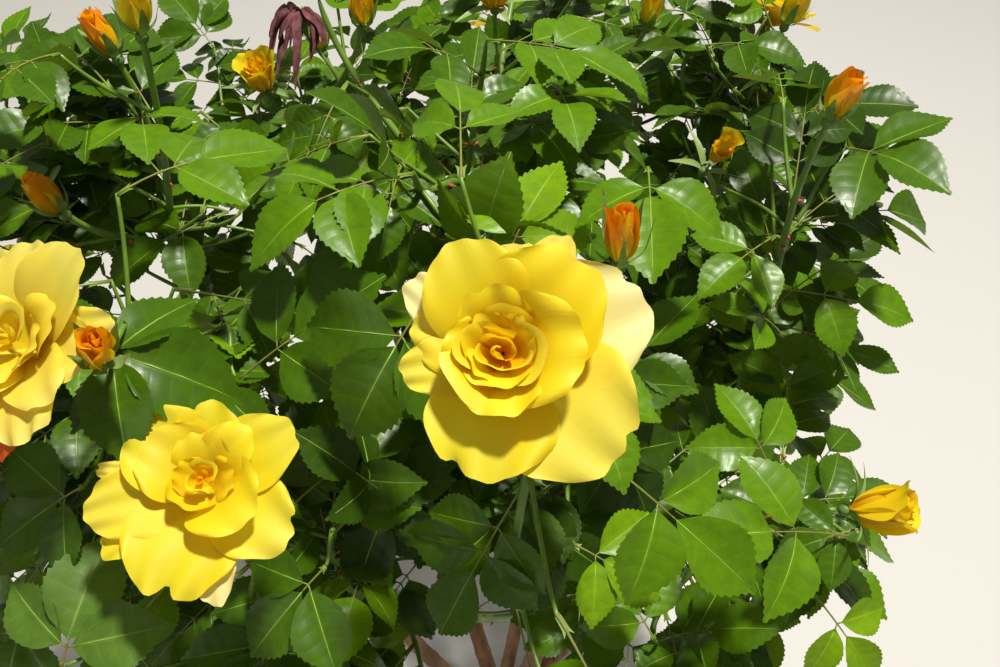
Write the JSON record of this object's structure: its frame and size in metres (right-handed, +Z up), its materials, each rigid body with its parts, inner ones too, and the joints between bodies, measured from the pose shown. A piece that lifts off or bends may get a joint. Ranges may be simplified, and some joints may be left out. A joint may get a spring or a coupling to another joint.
{
  "type": "yellow garden rose bush",
  "caption": "Leggy garden rose shrub with woody canes from a grafted knuckle, glossy compound leaves, open yellow double blooms and orange buds.",
  "frame": {"origin": "middle of the flat cut under the knuckle, at ground level", "axes": "+Z straight up, -Y towards the front of the bush with its largest blooms, +X to the right seen from the front"},
  "size_m": [0.8939, 0.8666, 1.1844],
  "materials": {
    "bark": "matt brown bark with pale cracks, greener towards the top",
    "green_wood": "smooth green rind of young wood, satin",
    "foliage": "glossy green leaves",
    "petals": "soft velvety yellow petals",
    "buds": "orange outer petals flushed with red",
    "prickles": "hard red-brown thorns"
  },
  "bodies": {
    "root": {"knuckle": "bark", "cane_front": "bark", "cane_left": "bark", "cane_back": "bark", "cane_right": "bark", "cane_middle": "bark", "bough_front": "green_wood", "bough_front_left": "green_wood", "bough_front_low": "green_wood", "bough_left_front": "green_wood", "bough_left": "green_wood", "bough_left_low": "green_wood", "bough_back_left": "green_wood", "bough_back": "green_wood", "bough_back_low": "green_wood", "bough_back_right": "green_wood", "bough_right": "green_wood", "bough_right_front": "green_wood", "bough_right_low": "green_wood", "bough_top": "green_wood", "foliage_front": "foliage", "foliage_front_left": "foliage", "foliage_front_low": "foliage", "foliage_left_front": "foliage", "foliage_left": "foliage", "foliage_left_low": "foliage", "foliage_back_left": "foliage", "foliage_back": "foliage", "foliage_back_low": "foliage", "foliage_back_right": "foliage", "foliage_right": "foliage", "foliage_right_front": "foliage", "foliage_right_low": "foliage", "foliage_top": "foliage"}
  },
  "joints": []
}
